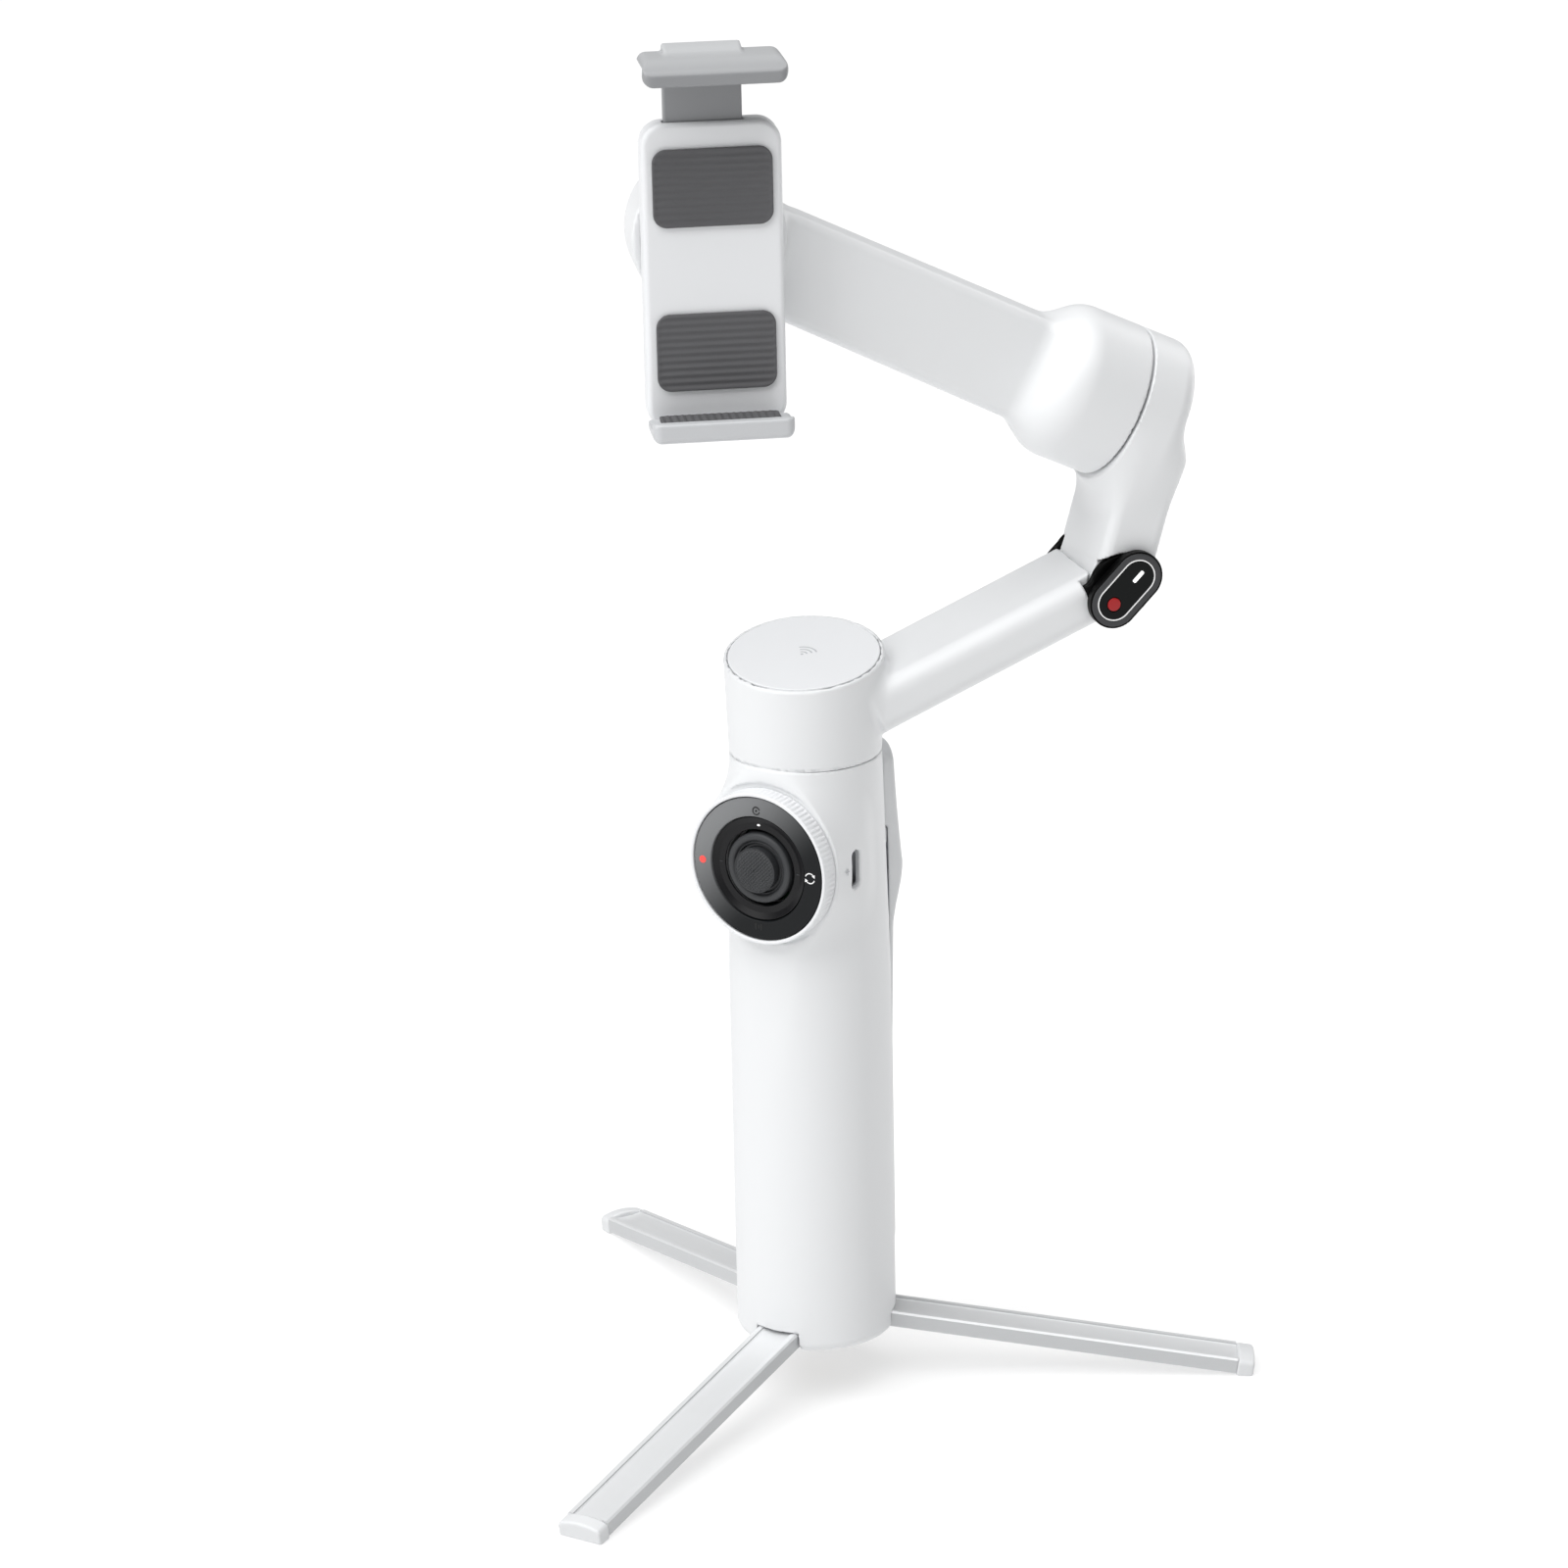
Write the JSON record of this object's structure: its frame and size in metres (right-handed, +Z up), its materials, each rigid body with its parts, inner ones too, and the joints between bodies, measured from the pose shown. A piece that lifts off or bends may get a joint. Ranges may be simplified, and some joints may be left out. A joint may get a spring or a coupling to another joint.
{
  "type": "gimbal stabilizer",
  "caption": "Handheld phone stabilizer with a thumb dial and stick, a folding arm, a sprung phone clamp and a fold-out tripod in its handle.",
  "frame": {"origin": "centre of the tripod thread's mouth in the underside of the handle, on the handle's axis", "axes": "+Z up along the handle, -Y out of the thumb dial towards the user, +X to the user's right"},
  "size_m": [0.1806, 0.1751, 0.314],
  "materials": {
    "white_shell": "satin moulded plastic",
    "white_cap": "satin moulded plastic",
    "grip_rubber": "soft touch",
    "clamp_rubber": "matt, fine ribs",
    "jaw_grey": "satin",
    "gloss_black": "polished",
    "dark_plastic": "fine matt",
    "stick_rubber": "diamond texture",
    "leg_aluminium": "brushed, anodised",
    "steel": "ground",
    "brass": "turned",
    "copper_coils": "lacquered windings",
    "circuit_board": "solder mask",
    "battery_sleeve": "shrink sleeve",
    "ribbon_film": "film",
    "light_white": "lit diffuser",
    "record_red": "satin"
  },
  "bodies": {
    "handle": {"handle_shell": "white_shell", "grip_strip": "grip_rubber", "pan_stator": "copper_coils", "pan_bearing": "steel", "battery_cell": "battery_sleeve", "main_board": "circuit_board", "usb_port": "steel", "touch_ring": "gloss_black", "ring_insert": "dark_plastic", "stick_module": "dark_plastic", "stick_spring": "steel", "trigger_switch": "dark_plastic", "trigger_pin": "steel", "trigger_spring": "steel", "rod_sleeve": "steel"},
    "dial": {"dial_ring": "white_cap"},
    "stick_frame": {"stick_cross": "dark_plastic"},
    "stick": {"stick_cap": "stick_rubber"},
    "trigger": {"trigger": "white_cap"},
    "extension_tube": {"rod_tube": "leg_aluminium"},
    "tripod_base": {"rod_core": "leg_aluminium", "tripod_hub": "dark_plastic", "thread_insert": "brass", "leg_pins": "steel"},
    "front_leg": {"leg_front": "leg_aluminium", "foot_front": "white_cap"},
    "right_leg": {"leg_right": "leg_aluminium", "foot_right": "white_cap"},
    "left_leg": {"leg_left": "leg_aluminium", "foot_left": "white_cap"},
    "pan_arm": {"pan_housing": "white_shell", "pan_cap": "white_cap", "pan_rotor": "steel", "pan_shaft": "steel", "arm_ribbon_cable": "ribbon_film", "elbow_ears": "dark_plastic", "elbow_pin": "steel", "pod_front": "gloss_black", "pod_face": "gloss_black", "pod_back": "gloss_black", "pod_light": "light_white"},
    "record_key": {"record_button": "record_red"},
    "neck": {"neck_shell": "white_shell", "tilt_stator": "copper_coils", "tilt_bearing": "steel"},
    "rear_arm": {"tilt_cover": "white_shell", "tilt_rotor": "steel", "tilt_shaft": "steel", "roll_stator": "copper_coils", "roll_bearing": "steel"},
    "clamp": {"clamp_body": "white_cap", "roll_rotor": "steel", "roll_shaft": "steel", "clamp_pads": "clamp_rubber", "lower_jaw": "jaw_grey", "lower_jaw_pad": "clamp_rubber", "jaw_springs": "steel"},
    "jaw": {"upper_jaw": "jaw_grey", "upper_jaw_pad": "clamp_rubber"}
  },
  "joints": [
    {"name": "dial_turn", "type": "hinge", "parent": "handle", "child": "dial", "pos_m": [0, -0.0195, 0.1177], "axis": [0, -1, 0], "continuous": true},
    {"name": "stick_tilt", "type": "hinge", "parent": "handle", "child": "stick_frame", "pos_m": [0, -0.018, 0.1177], "axis": [1, 0, 0], "range_deg": [-10, 10], "stiffness_Nm_per_rad": 0.02},
    {"name": "stick_pan", "type": "hinge", "parent": "stick_frame", "child": "stick", "pos_m": [0, -0.018, 0.1177], "axis": [0, 0, 1], "range_deg": [-10, 10], "stiffness_Nm_per_rad": 0.02},
    {"name": "trigger_pull", "type": "hinge", "parent": "handle", "child": "trigger", "pos_m": [0, 0.011, 0.117], "axis": [-1, 0, 0], "range_deg": [0, 6], "stiffness_Nm_per_rad": 0.3, "springref_deg": -5.73},
    {"name": "extension_slide", "type": "slide", "parent": "handle", "child": "extension_tube", "axis": [0, 0, 1], "range_m": [-0.052, 0]},
    {"name": "tripod_slide", "type": "slide", "parent": "extension_tube", "child": "tripod_base", "axis": [0, 0, 1], "range_m": [-0.052, 0]},
    {"name": "front_leg_fold", "type": "hinge", "parent": "tripod_base", "child": "front_leg", "pos_m": [0, -0.0123, 0.0033], "axis": [1, 0, 0], "range_deg": [0, 80]},
    {"name": "right_leg_fold", "type": "hinge", "parent": "tripod_base", "child": "right_leg", "pos_m": [0.01065, 0.00615, 0.0033], "axis": [-0.5, 0.866, 0], "range_deg": [0, 80]},
    {"name": "left_leg_fold", "type": "hinge", "parent": "tripod_base", "child": "left_leg", "pos_m": [-0.01065, 0.00615, 0.0033], "axis": [-0.5, -0.866, 0], "range_deg": [0, 80]},
    {"name": "pan", "type": "hinge", "parent": "handle", "child": "pan_arm", "pos_m": [0, 0, 0.15], "axis": [0, 0, 1], "continuous": true},
    {"name": "record_press", "type": "slide", "parent": "pan_arm", "child": "record_key", "axis": [-0.7431, 0.6691, 0], "range_m": [0, 0.0004], "stiffness_N_per_m": 400},
    {"name": "elbow_fold", "type": "hinge", "parent": "pan_arm", "child": "neck", "pos_m": [0.04711, 0.05232, 0.1736], "axis": [-0.7431, 0.6691, 0], "range_deg": [0, 140]},
    {"name": "tilt", "type": "hinge", "parent": "neck", "child": "rear_arm", "pos_m": [0.04898, 0.0544, 0.2131], "axis": [-0.6034, -0.6702, 0.4321], "range_deg": [-80, 120]},
    {"name": "roll", "type": "hinge", "parent": "rear_arm", "child": "clamp", "pos_m": [-0.01477, -0.01196, 0.2574], "axis": [0.6293, -0.7771, 0], "range_deg": [-100, 100]},
    {"name": "jaw_slide", "type": "slide", "parent": "clamp", "child": "jaw", "axis": [0, 0, 1], "range_m": [-0.0123, 0.008], "deforming": ["jaw_springs"]}
  ],
  "couplings": [
    {"joint": "tripod_slide", "follows": "extension_slide", "ratio": 1}
  ]
}
